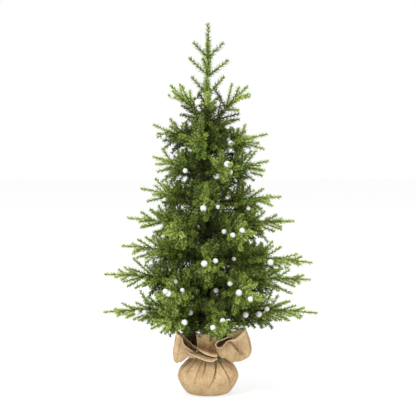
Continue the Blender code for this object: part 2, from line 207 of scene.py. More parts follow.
# foliage colours: U picks the tone, V runs from a needle's root to its tip, with painted shade towards the
# root
foliage = {
    "map": "OFBake",
    "columns": 64,
    "columnHalf": 0.42,  # half of what a face covers of its column
    "base": (0.1, 0.2, 0.03),
    "tones": [
        (0.00, (0.010, 0.020, 0.003, 1)),
        (0.22, (0.072, 0.118, 0.016, 1)),
        (0.45, (0.310, 0.460, 0.066, 1)),
        (0.65, (0.585, 0.755, 0.165, 1)),
        (0.84, (0.790, 0.905, 0.370, 1)),
        (0.92, (0.150, 0.175, 0.040, 1)),
        (1.00, (0.450, 0.190, 0.050, 1)),
    ],
    "stemTone": 0.93,
    "budTone": 0.99,
    "lowest": 0.01,  # needles keep between these tones
    "highest": 0.86,
    "rootShade": 0.22,
    "capShare": 0.2,  # a face wholly below this share is a cap
    "capShade": 0.05,
    "rootRoughness": 0.62,
    "roughnessFall": 0.12,
    "specular": 0.22,
}


def needleMaterial():
    material, shader, maker = newMaterial("needleGreen", foliage["base"], foliage["rootRoughness"])
    place = maker.out(maker.node("ShaderNodeUVMap", {"uv_map": foliage["map"]}), "UV")
    split = maker.node("ShaderNodeSeparateXYZ", None, Vector=place)
    tone, along = maker.out(split, "X"), maker.out(split, "Y")
    colour = rampOf(maker, tone, foliage["tones"])
    # painted shade: each needle is darker towards its root, where the needles shade each other
    shade = along * (1 - foliage["rootShade"]) + foliage["rootShade"]
    lit = maker.node("ShaderNodeVectorMath", {"operation": "SCALE"}, Vector=colour, Scale=shade)
    link(maker.out(lit), shader, "Base Color")
    link(foliage["rootRoughness"] - along * foliage["roughnessFall"], shader, "Roughness")
    shader.inputs["Specular IOR Level"].default_value = foliage["specular"]
    return material


# sprigs: short needled lengths along +Z, laid end to end on the wires
needle = {"length": 0.0090, "radius": 0.00078, "blunt": 0.50, "whorl": 5, "pitch": 0.0031, "wire": 0.0014}
tinsel = {"length": 0.017, "radius": 0.00072, "blunt": 0.3, "whorl": 5, "pitch": 0.0027, "wire": 0.0010}
shoot = {"length": 0.0112, "radius": 0.00092, "blunt": 0.45, "whorl": 5, "pitch": 0.0040, "wire": 0.0017}
sprigShape = {
    "golden": math.radians(137.5),
    "wander": 0.3,
    "leans": (48, 64),  # degrees off the wire
    "tipLean": 8,  # and less towards a pointed end
    "sizes": (0.86, 1.10),
    "tipTaper": 0.35,
    "taperPower": 8,
    "crown": 4,  # needles round the point
    "crownLean": 0.55,
    "crownSize": 0.55,
    "crownPlace": 0.97,
    "wireEnd": 0.45,
    "wireOverlap": 1.02,
    "budPlaces": (0.25, 0.6),
    "budLength": 0.004,
    "budGirths": (1.5, 1.2),
    "spin": 6.28,  # each laid sprig is turned by up to this
}
sprigs = {
    "tip": {"style": needle, "lengths": (0.024, 0.036, 0.050, 0.068, 0.092),
            "tones": (0.12, 0.22, 0.32, 0.42, 0.51, 0.60), "spread": 0.23, "pointed": True},
    "run": {"style": needle, "lengths": (0.020,),
            "tones": (0.28, 0.38, 0.50), "spread": 0.08, "pointed": False},
    "core": {"style": tinsel, "lengths": (0.020,), "tones": (0.10,), "spread": 0.08, "pointed": False},
    "stem": {"style": shoot, "lengths": (0.020,), "tones": (0.38,), "spread": 0.14, "pointed": False},
    "spire": {"style": shoot, "lengths": (0.046, 0.070), "tones": (0.42,), "spread": 0.16, "pointed": True},
}


def paintFaces(layer, faces, tone, foot, axis, reach):
    column = (math.floor(tone * foliage["columns"]) + 0.5) / foliage["columns"]
    half = foliage["columnHalf"] / foliage["columns"]
    for face in faces:
        cap = all((loop.vert.co - foot).dot(axis) < foliage["capShare"] * reach for loop in face.loops)
        for index, loop in enumerate(face.loops):
            high = (loop.vert.co - foot).dot(axis) / reach
            if cap:
                high = foliage["capShade"] * (index % 2)
            loop[layer].uv = (column + half * ((index % 3) - 1), min(max(high, 0.0), 1.0))


def addNeedle(bm, layer, foot, axis, length, style, tone):
    place = Matrix.Translation(foot + axis * (length / 2)) @ turnTo(axis)
    made = bmesh.ops.create_cone(bm, cap_ends=False, segments=3, radius1=style["radius"],
                                 radius2=style["radius"] * style["blunt"], depth=length, matrix=place)
    shown = min(max(tone, foliage["lowest"]), foliage["highest"])
    paintFaces(layer, facesOf(made), shown, foot, axis, length)


def addRod(bm, layer, middle, radii, depth, tone, foot, reach):
    made = bmesh.ops.create_cone(bm, cap_ends=True, segments=4, radius1=radii[0], radius2=radii[1],
                                 depth=depth, matrix=Matrix.Translation(middle))
    paintFaces(layer, facesOf(made), tone, foot, up, reach)


def makeSprig(name, length, style, tone, spread, pointed):
    rng = random.Random(name)
    bm = bmesh.new()
    layer = bm.loops.layers.uv.new(foliage["map"])
    steps = max(int(length / style["pitch"]), 2)
    turn = rng.uniform(0, math.tau)
    for step in range(steps):
        share = (step + 0.5) / steps
        for index in range(style["whorl"]):
            turn += math.tau / style["whorl"] + rng.uniform(-sprigShape["wander"], sprigShape["wander"])
            lean = rng.uniform(*sprigShape["leans"]) - (sprigShape["tipLean"] * share if pointed else 0)
            lean = math.radians(lean)
            size = style["length"] * rng.uniform(*sprigShape["sizes"])
            if pointed:
                size *= 1.0 - sprigShape["tipTaper"] * share ** sprigShape["taperPower"]
            axis = Vector((math.cos(turn) * math.sin(lean), math.sin(turn) * math.sin(lean),
                           math.cos(lean)))
            foot = up * (length * (step + (index + rng.random()) / style["whorl"]) / steps)
            hue = tone + rng.uniform(-spread, spread)
            addNeedle(bm, layer, foot, axis, size, style, hue)
        turn += sprigShape["golden"]
    if pointed:
        lean = sprigShape["crownLean"]
        for index in range(sprigShape["crown"]):
            turn += math.tau / sprigShape["crown"]
            axis = Vector((math.cos(turn) * lean, math.sin(turn) * lean, 1)).normalized()
            addNeedle(bm, layer, up * length * sprigShape["crownPlace"], axis,
                      style["length"] * sprigShape["crownSize"], style, tone)
    wire = style["wire"]
    ends = (wire, wire * (sprigShape["wireEnd"] if pointed else 1.0))
    addRod(bm, layer, up * length / 2, ends, length * sprigShape["wireOverlap"], foliage["stemTone"],
           Vector(), length)
    if pointed:
        bud = up * length * rng.uniform(*sprigShape["budPlaces"])
        ends = [wire * girth for girth in sprigShape["budGirths"]]
        addRod(bm, layer, bud, ends, sprigShape["budLength"], foliage["budTone"], bud,
               sprigShape["budLength"])
    bmesh.ops.recalc_face_normals(bm, faces=bm.faces[:])
    mesh = bpy.data.meshes.new(name)
    bm.to_mesh(mesh)
    bm.free()
    return mesh


def makeSprigs():
    kit = {}
    for kind, plan in sprigs.items():
        for length in plan["lengths"]:
            for tone in plan["tones"]:
                name = f"{kind}_{length * 1000:.0f}_{tone * 100:.0f}"
                kit[kind, length, tone] = makeSprig(name, length, plan["style"], tone, plan["spread"],
                                                    plan["pointed"])
    return kit


def newBed(kit, name):
    # a mesh to lay sprigs in, with its own random numbers
    bm = bmesh.new()
    bm.loops.layers.uv.new(foliage["map"])
    return {"bm": bm, "kit": kit, "rng": random.Random(name)}


def laySprig(bed, kind, foot, heading, length, tone=0.0, girth=1.0):
    # the nearest sprig of its kind in length and tone, stretched to this length
    plan = sprigs[kind]
    size = min(plan["lengths"], key=lambda item: abs(item - length))
    shade = min(plan["tones"], key=lambda item: abs(item - tone))
    copy = bed["kit"][kind, size, shade].copy()
    turn = turnTo(heading) @ Matrix.Rotation(bed["rng"].uniform(0, sprigShape["spin"]), 4, "Z")
    copy.transform(Matrix.Translation(foot) @ turn @ Matrix.Diagonal((girth, girth, length / size, 1)))
    bed["bm"].from_mesh(copy)
    bpy.data.meshes.remove(copy)


# branches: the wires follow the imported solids, and carry more twigs than they do
branch = {
    "bow": 0.035,
    "hookEnd": 0.010,
    "hookRadius": 0.0155,  # from the pole's middle to the hooks
    "start": 0.030,  # even marks along the stem start here, from the hook
    "pitch": 0.020,
    "end": 0.046,  # least length of the tip
    "setBack": 0.4,  # twigs start this share of a pitch behind their place
    "step": 0.01,  # share of the stem over which its direction is taken
    "twigLength": 0.024,
    "twigGain": 0.26,
    "twigAngle": math.radians(48),
    "droop": math.radians(11),
    "fill": 0.46,  # share of the room between neighbours that twigs may take
    "slim": 1.6,  # how fast twigs shorten towards the tip
    "inner": 0.46,  # share of a stem that is thick with twigs
    "dense": 0.50,  # share that carries a dark twig beside each cross twig
    "steep": 0.50,  # a stem that rises this much is open all along
    "bare": 0.80,  # past this share twigs stand singly
    "sideBare": 0.24,  # branches to the left and right are more open
    "sideLightGain": 0.20,  # and painted lighter, as painted light; those facing front and back are painted darker, as painted shade
    "evenTone": 0.67,  # how far sideways a branch points that is painted neither lighter nor darker
    "hem": 0.173,  # twigs are kept above this height, clear of the sack
    "mostLift": 0.25,  # and none is lifted steeper than this for it
    "runTone": 0.30,
    "runGain": 0.20,
    "darkTone": 0.12,
    "toneGain": 0.58,
    "steepLit": 0.65,  # a steep stem is painted at least as light as at this share
    "toneWander": 0.08,
    "rootTwigs": {"place": 0.012, "ahead": (0.3, 0.7), "aside": 0.6, "length": 0.058, "sizes": (0.85, 1.1),
                  "tones": (0.10, 0.36)},
    "sideTwigs": {"angle": 0.92, "looseAngle": 0.72, "fan": (-0.14, 0.14), "sinks": (-0.22, 0.16),
                  "wild": 2.0, "tiers": (-0.80, 0.65), "main": 1.06, "loose": (0.80, 0.98),
                  "between": (0.55, 0.75), "outerGain": 1.45, "stretch": 1.1, "perch": 0.55},
    "crossTwigs": {"length": 0.048, "thinFrom": 0.10, "thinRise": (0.34, 0.62), "rise": (0.55, 0.95),
                   "outerTilt": (-0.25, 0.25), "tilt": (0.25, 0.75), "sizes": (0.85, 1.10),
                   "outerGain": (1.15, 1.50), "gain": 1.15, "gainFall": 0.40, "darker": 0.06,
                   "paintedTopLight": 0.05, "extraAhead": 0.35, "extraSize": 0.95, "extraTones": (0.12, 0.38)},
    "tip": {"tone": 0.54, "steepTone": 0.52, "roll": (-1.2, 1.2), "perch": 0.4},
    "forkFrom": 0.034,  # a shorter twig has no forks
    "forkLift": (-0.15, 0.15),
    "forkSizes": (0.9, 1.1),
    "forkDarker": 0.03,
    "forks": {  # where along the twig they start, their size and their angle
        "twig": ((0.16, 0.40), 0.68, (0.42, 0.62)),
        "steepTip": ((0.0, 0.1), 0.75, (0.42, 0.62)),
        "tip": ((0.02, 0.14), 0.48, (0.62, 0.85)),
    },
}


def stemPoint(tip, share):
    return tip * share + up * (4 * branch["bow"] * tip.length * share * (1 - share))


def readBranch(joint):
    node = frame["nodes"][joint["child"]]
    pivot = Vector(joint["pos_m"])
    axis = Vector(joint["axis"])
    outward = Vector((-axis.y, axis.x, 0)).normalized()
    far = max((vert.co - pivot).dot(outward) for vert in node.data.vertices)
    near = far - 0.0015  # what lies past this is the tip's end face
    ends = [vert.co - pivot for vert in node.data.vertices if (vert.co - pivot).dot(outward) > near]
    tip = sum(ends, Vector()) / len(ends)
    sideways = abs(outward.x)
    return {
        "name": joint["child"],
        "pivot": pivot,
        "out": outward,
        "side": Vector((-outward.y, outward.x, 0)),
        "tip": tip,
        "length": tip.length,
        "steep": tip.z > branch["steep"] * tip.length,
        "bare": branch["bare"] - branch["sideBare"] * sideways,
        # painted light on branches to the sides, painted shade on those to the front and back
        "paintedSideLight": branch["sideLightGain"] * (sideways - branch["evenTone"]),
    }


def sectorOf(found, family):
    level = 0.002  # branches of one ring are as high as each other, to within this
    gaps = [abs(found["out"].angle(other["out"])) for other in family
            if other is not found and abs(other["pivot"].z - found["pivot"].z) < level]
    return math.tan(min(gaps) / 2) if gaps else 1.0


def spotOf(found, index):
    # one place on a stem, and what the twigs there look like
    tip, length = found["tip"], found["length"]
    distance = branch["start"] + (index + 2) * branch["pitch"] / 2
    share = distance / length
    rooted = stemPoint(tip, share - branch["setBack"] * branch["pitch"] / length)
    ahead = (stemPoint(tip, share + branch["step"]) - stemPoint(tip, share - branch["step"])).normalized()
    room = branch["fill"] * found["sector"] * (distance + branch["hookRadius"])
    # twigs are painted lighter from the pole out to the tip: partly the darker inner needles, partly
    # painted shade inside the tree
    lit = max(share, branch["steepLit"]) if found["steep"] else share
    return {
        "share": share,
        "foot": found["pivot"] + rooted,
        "ahead": ahead,
        "above": ahead.cross(found["side"]),
        "reach": min(branch["twigLength"] + branch["twigGain"] * (length - distance),
                     room / math.sin(branch["twigAngle"])),
        "tone": branch["darkTone"] + found["paintedSideLight"] + branch["toneGain"] * lit,
        "slim": 1.0 - branch["slim"] * max(share - branch["inner"], 0.0),
        "outer": share > branch["inner"] or found["steep"],
        "between": index % 2 == 1,
        "odd": (index // 2) % 2 == 1,
    }


def keptUp(foot, heading, length):
    # a twig that would hang over the sack lies flatter
    lowest = min((branch["hem"] - foot.z) / length, branch["mostLift"])
    if heading.z >= lowest:
        return heading
    return Vector((heading.x, heading.y, lowest)).normalized()


def layForked(bed, foot, heading, plane, length, tone, forks="twig"):
    # a twig with a pair of short forks in its own plane
    rng = bed["rng"]
    places, size, fan = branch["forks"][forks]
    laySprig(bed, "tip", foot, heading, length, tone)
    if length < branch["forkFrom"]:
        return
    across = plane.cross(heading).normalized()
    for hand in (1, -1):
        turn = rng.uniform(*fan)
        fork = heading * math.cos(turn) + across * hand * math.sin(turn)
        fork += plane * rng.uniform(*branch["forkLift"])
        place = foot + heading * length * rng.uniform(*places)
        fork = keptUp(place, fork.normalized(), length * size)
        laySprig(bed, "tip", place, fork, length * size * rng.uniform(*branch["forkSizes"]),
                 tone - branch["forkDarker"])


def layStem(bed, found, marks):
    length, tip = found["length"], found["tip"]
    for low, high in zip(marks, marks[1:]):
        first, last = stemPoint(tip, low / length), stemPoint(tip, high / length)
        heading = (last - first).normalized()
        kind = "core" if low < branch["inner"] * length else "run"
        # the stem's runs are painted lighter towards the tip: partly the darker inner tinsel, partly
        # painted shade inside the tree
        tone = branch["runTone"] + branch["runGain"] * low / length
        laySprig(bed, kind, found["pivot"] + first, heading, (last - first).length, tone)


def layRootTwigs(bed, found):
    # twigs beside the hook, which close the gap to the pole
    rng = bed["rng"]
    twigs = branch["rootTwigs"]
    foot = found["pivot"] + stemPoint(found["tip"], twigs["place"] / found["length"])
    for lift in (1, -1):
        for hand in (1, -1):
            heading = found["out"] * rng.uniform(*twigs["ahead"]) + found["side"] * hand * twigs["aside"]
            heading = (heading + up * lift).normalized()
            size = twigs["length"] * rng.uniform(*twigs["sizes"])
            laySprig(bed, "tip", foot, heading, size, rng.uniform(*twigs["tones"]))


def laySideTwigs(bed, found, spot, perches):
    # one to the left and one to the right, nearly level
    rng = bed["rng"]
    twigs = branch["sideTwigs"]
    for hand in (1, -1):
        main = (hand > 0) == spot["odd"]
        loose = spot["outer"] and not main
        if loose and spot["share"] > found["bare"]:
            continue
        wild = twigs["wild"] if loose else 1.0
        angle = branch["twigAngle"] * (twigs["looseAngle"] if loose else twigs["angle"])
        angle += rng.uniform(*twigs["fan"]) * wild
        sink = branch["droop"] + rng.uniform(*twigs["sinks"]) * wild
        if spot["between"] or loose:
            sink += rng.choice(twigs["tiers"])
        level = spot["ahead"] * math.cos(angle) + found["side"] * hand * math.sin(angle)
        heading = (level * math.cos(sink) - spot["above"] * math.sin(sink)).normalized()
        if spot["between"]:
            size = spot["reach"] * rng.uniform(*twigs["between"])
        else:
            size = spot["reach"] * (twigs["main"] if main else rng.uniform(*twigs["loose"]))
        size *= twigs["outerGain"] * spot["slim"] if spot["outer"] else 1.0
        heading = keptUp(spot["foot"], heading, size)
        tone = spot["tone"] + rng.uniform(-branch["toneWander"], branch["toneWander"])
        if spot["outer"]:
            laySprig(bed, "tip", spot["foot"], heading, size * twigs["stretch"], tone)
        else:
            layForked(bed, spot["foot"], heading, spot["above"], size, tone)
        perches.append((found["name"], spot["foot"] + heading * size * twigs["perch"]))


def layCrossTwigs(bed, found, spot):
    # one above the stem and one below it
    rng = bed["rng"]
    twigs = branch["crossTwigs"]
    for lift in (1, -1):
        thin = found["steep"] or spot["share"] > found["bare"] - twigs["thinFrom"]
        if thin and (lift > 0) == spot["odd"]:
            continue
        rise = rng.uniform(*twigs["thinRise"]) if thin else rng.uniform(*twigs["rise"])
        if spot["outer"]:
            tilt = found["side"] * rng.uniform(*twigs["outerTilt"])
        else:
            tilt = found["side"] * (rng.uniform(*twigs["tilt"]) * (1 if spot["between"] else -1))
        heading = spot["ahead"] * math.cos(rise) + spot["above"] * lift * math.sin(rise)
        heading = (heading + tilt).normalized()
        vary = rng.uniform(*twigs["sizes"])
        if spot["outer"]:
            size = twigs["length"] * (vary * (rng.uniform(*twigs["outerGain"]) * spot["slim"]))
        else:
            size = twigs["length"] * (vary * (twigs["gain"] - twigs["gainFall"] * spot["share"]))
        heading = keptUp(spot["foot"], heading, size)
        if spot["outer"]:
            laySprig(bed, "tip", spot["foot"], heading, size, spot["tone"])
        else:
            # twigs above the stem are painted lighter and those below darker: painted light from above,
            # painted shade beneath
            tone = spot["tone"] - twigs["darker"] + twigs["paintedTopLight"] * lift
            layForked(bed, spot["foot"], heading, found["side"], size, tone)
        if spot["share"] < branch["dense"]:
            heading = (spot["ahead"] * twigs["extraAhead"] + spot["above"] * lift - tilt).normalized()
            heading = keptUp(spot["foot"], heading, size)
            laySprig(bed, "tip", spot["foot"], heading, size * twigs["extraSize"],
                     rng.uniform(*twigs["extraTones"]))


def layTip(bed, found, mark, perches):
    plan, side = branch["tip"], found["side"]
    start = stemPoint(found["tip"], mark / found["length"])
    last = found["tip"] - start
    foot = found["pivot"] + start
    if found["steep"]:
        layForked(bed, foot, last.normalized(), side, last.length, plan["steepTone"], "steepTip")
    else:
        plane = (last.cross(side).normalized() + side * bed["rng"].uniform(*plan["roll"])).normalized()
        layForked(bed, foot, last.normalized(), plane, last.length, plan["tone"] + found["paintedSideLight"], "tip")
    perches.append((found["name"], foot + last * plan["perch"]))


def growBranch(kit, found, family, material, perches):
    bed = newBed(kit, found["name"])
    found["sector"] = sectorOf(found, family)
    count = max(int((found["length"] - branch["start"] - branch["end"]) / branch["pitch"]), 1)
    marks = [branch["hookEnd"]] + [branch["start"] + index * branch["pitch"] for index in range(count + 1)]
    layStem(bed, found, marks)
    layRootTwigs(bed, found)
    for index in range(2 * count):
        spot = spotOf(found, index)
        if spot["between"] and (found["steep"] or spot["share"] > found["bare"]):
            continue
        laySideTwigs(bed, found, spot, perches)
        layCrossTwigs(bed, found, spot)
    layTip(bed, found, marks[-1], perches)
    piece = addPiece("foliage_" + found["name"].removeprefix("branch_"), bed["bm"], [material],
                     found["name"])
    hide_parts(found["name"])


# leader: the upright top shoot, with its whorls
leader = {
    "foot": 0.692,
    "pitch": 0.020,
    "topGap": 0.4,  # share of a needle that stands past the wire's end
    "whorls": ((0.724, 0.056, 1.20), (0.774, 0.058, 0.85), (0.814, 0.048, 1.05)),  # height, length, rise
    "twigs": 4,
    "turnWander": 0.25,
    "riseWander": 0.1,
    "heightWander": 0.004,
    "stretch": 1.05,
}


def growLeader(kit, material):
    bed = newBed(kit, "leader")
    rng = bed["rng"]
    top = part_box("leader")[1].z
    place = leader["foot"]
    while place < leader["whorls"][-1][0]:
        laySprig(bed, "stem", up * place, up, leader["pitch"])
        place += leader["pitch"]
    laySprig(bed, "spire", up * place, up, top - place - leader["topGap"] * needle["length"])
    for height, length, rise in leader["whorls"]:
        for twig in range(leader["twigs"]):
            turn = twig * math.tau / leader["twigs"]
            turn += rng.uniform(-leader["turnWander"], leader["turnWander"])
            lift = rise + rng.uniform(-leader["riseWander"], leader["riseWander"])
            outward = Vector((math.cos(turn), math.sin(turn), lift)).normalized()
            foot = up * (height + rng.uniform(-leader["heightWander"], leader["heightWander"]))
            laySprig(bed, "spire", foot, outward, length * leader["stretch"])
    piece = addPiece("leader_foliage", bed["bm"], [material], "base")
    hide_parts("leader")


# tinsel wound on the pole, which hides it, with dark twigs that stand out of it
poleWrap = {
    "low": 0.150,
    "high": 0.690,
    "pitch": 0.020,
    "around": 3,
    "twist": 0.4,
    "radius": 0.008,
    "girth": 1.25,
    "twigs": 8,
    "twigPitch": 0.022,
    "twigTwist": 0.37,
    "twigTurns": (-0.2, 0.2),
    "twigRises": (-0.2, 0.6),
    "twigLength": 0.070,
    "twigSizes": (0.8, 1.1),
    "twigTones": (0.10, 0.38),
    "rings": (  # long twigs over the collar's mouth and in gaps: height, count, length, steepest rise
        (0.157, 26, 0.092, 0.13),
        (0.450, 15, 0.090, 0.14),
        (0.512, 10, 0.084, 0.20),
        (0.596, 10, 0.078, 0.20),
    ),
    "ringTurns": (-0.3, 0.3),
    "ringDrop": -0.03,
    "ringHeight": 0.014,
    "ringSizes": (0.7, 1.1),
    "ringTones": (0.15, 0.45),
}


def layPoleTwig(bed, turn, rise, height, length, tone):
    outward = Vector((math.cos(turn), math.sin(turn), rise))
    foot = up * height + outward * poleWrap["radius"]
    laySprig(bed, "tip", foot, outward.normalized(), length, tone)


def wrapPole(kit, material):
    bed = newBed(kit, "pole")
    rng = bed["rng"]
    low = poleWrap["low"]
    for level in range(int((poleWrap["high"] - low) / poleWrap["pitch"])):
        for index in range(poleWrap["around"]):
            turn = (index + level * poleWrap["twist"]) * math.tau / poleWrap["around"]
            foot = Vector((math.cos(turn), math.sin(turn), 0)) * poleWrap["radius"]
            foot.z = low + level * poleWrap["pitch"]
            laySprig(bed, "core", foot, up, poleWrap["pitch"], girth=poleWrap["girth"])
    for level in range(int((poleWrap["high"] - low) / poleWrap["twigPitch"])):
        for index in range(poleWrap["twigs"]):
            turn = index + level * poleWrap["twigTwist"] + rng.uniform(*poleWrap["twigTurns"])
            layPoleTwig(bed, turn * math.tau / poleWrap["twigs"], rng.uniform(*poleWrap["twigRises"]),
                        low + (level + rng.random()) * poleWrap["twigPitch"],
                        poleWrap["twigLength"] * rng.uniform(*poleWrap["twigSizes"]),
                        rng.uniform(*poleWrap["twigTones"]))
    for height, count, length, rise in poleWrap["rings"]:
        for index in range(count):
            turn = (index + rng.uniform(*poleWrap["ringTurns"])) * math.tau / count
            layPoleTwig(bed, turn, rng.uniform(poleWrap["ringDrop"], rise),
                        height + rng.uniform(0.0, poleWrap["ringHeight"]),
                        length * rng.uniform(*poleWrap["ringSizes"]), rng.uniform(*poleWrap["ringTones"]))
    piece = addPiece("pole_tinsel", bed["bm"], [material], "base")
    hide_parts(*(name for name in frame["nodes"] if name.startswith("pole_garland")))


# globes on short clear holders
globe = {
    "large": 0.0150,  # diameters
    "middle": 0.0125,
    "small": 0.0102,
    "holderRadius": 0.0020,
    "holderFlare": 1.15,
    "holderLength": 0.007,
    "holderMost": 0.015,
    "holderRoot": 0.001,  # sunk in the twig
    "holderEnd": 0.92,  # and in the globe, as a share of its radius
    "reach": 0.034,  # furthest that a twig may be from the sight line
    "nearer": 1.1,  # how much a twig towards the camera is preferred
    "ahead": 0.030,  # holders lead to the sight line this far before the twig
    "apart": 0.020,
    "sideDepth": -0.15,  # limits for the sides that the photograph doesn't show
    "sideWidth": 0.07,
    "white": (0.62, 0.62, 0.62),
    "whiteRoughness": 0.42,
    "frostScale": 900.0,
    "frostRoughness": (0.30, 0.22),
    "clear": (0.72, 0.74, 0.72),
    "clearRoughness": 0.25,
    "cloudScale": 400.0,
    "cloudTones": [(0.3, (0.40, 0.45, 0.37, 1)), (0.7, (0.60, 0.64, 0.56, 1))],
    "spots": (  # where the photograph shows them, in its pixels
        (193, 100, "large"), (220, 119, "middle"), (221, 143, "middle"), (230, 160, "large"),
        (187, 173, "middle"), (220, 184, "large"), (247, 172, "small"), (202, 216, "large"),
        (222, 210, "small"), (217, 229, "middle"), (234, 225, "middle"), (234.5, 235, "middle"),
        (155, 230, "middle"), (196.5, 258, "large"), (216, 256, "middle"), (232, 257.5, "small"),
        (265.6, 265, "large"), (178, 274, "middle"), (180, 281, "small"), (168, 285, "middle"),
        (162, 293, "large"), (227, 282, "middle"), (239, 285, "large"), (208, 290, "middle"),
        (199, 308.5, "middle"), (247, 304, "middle"), (190, 322, "large"), (207, 327, "middle"),
        (223, 317, "middle"), (247, 318, "large"), (141, 311, "middle"), (279, 271, "small"),
        (249, 213, "small"),
    ),
}


def globeMaterials():
    white, shader, maker = newMaterial("frostedWhite", globe["white"], globe["whiteRoughness"])
    frost = noiseOf(maker, objectPlace(maker), globe["frostScale"])
    link(frost * globe["frostRoughness"][1] + globe["frostRoughness"][0], shader, "Roughness")
    clear, shader, cloud = grainMaterial("holderClear", globe["clear"], globe["clearRoughness"],
                                         globe["cloudScale"], globe["cloudTones"])
    return [white, clear]


def addGlobe(bm, perch, centre, size):
    radius = globe[size] / 2
    away = (centre - perch).normalized()
    turn = turnTo(away)
    made = bmesh.ops.create_uvsphere(bm, u_segments=20, v_segments=12, radius=radius,
                                     matrix=Matrix.Translation(centre) @ turn)
    for face in facesOf(made):
        face.smooth = True
    start = perch - away * globe["holderRoot"]
    end = centre - away * radius * globe["holderEnd"]
    made = bmesh.ops.create_cone(bm, cap_ends=True, segments=10, radius1=globe["holderRadius"],
                                 radius2=globe["holderRadius"] * globe["holderFlare"],
                                 depth=(end - start).length,
                                 matrix=Matrix.Translation((start + end) / 2) @ turn)
    for face in facesOf(made):
        face.material_index = 1


def findPerch(spots, pixel, taken, unseen):
    # the twig that is nearest to a pixel's sight line and to the camera
    best = None
    for name, place in spots:
        miss = (pointAt(pixel, place.y) - place).length
        if unseen and (place.y < globe["sideDepth"] or abs(place.x) > globe["sideWidth"]):
            continue
        if miss > globe["reach"] or any((place - other).length < globe["apart"] for other in taken):
            continue
        score = miss + globe["nearer"] * place.y
        if best is None or score < best[0]:
            best = (score, name, place)
    return best


def hangGlobes(perches):
    materials = globeMaterials()
    made = {}
    for quarter in (0, 2, 1, 3):  # the photographed side, the same again behind, then fewer on the sides
        facing = Matrix.Rotation(quarter * math.pi / 2, 3, "Z")
        spots = [(name, facing @ place) for name, place in perches]
        taken = []
        unseen = quarter % 2 == 1
        for across, down, size in globe["spots"][::2] if unseen else globe["spots"]:
            best = findPerch(spots, (across, down), taken, unseen)
            if best is None:
                continue
            score, name, place = best
            taken.append(place)
            lead = pointAt((across, down), place.y - globe["ahead"]) - place
            gap = min(max(lead.length, globe[size] / 2 + globe["holderLength"]), globe["holderMost"])
            centre = place + lead.normalized() * gap
            if name not in made:
                made[name] = bmesh.new()
            addGlobe(made[name], facing.inverted() @ place, facing.inverted() @ centre, size)
    for name, bm in made.items():
        addPiece("globes_" + name.removeprefix("branch_"), bm, materials, name)
    print("globes hung on", len(made), "branches")


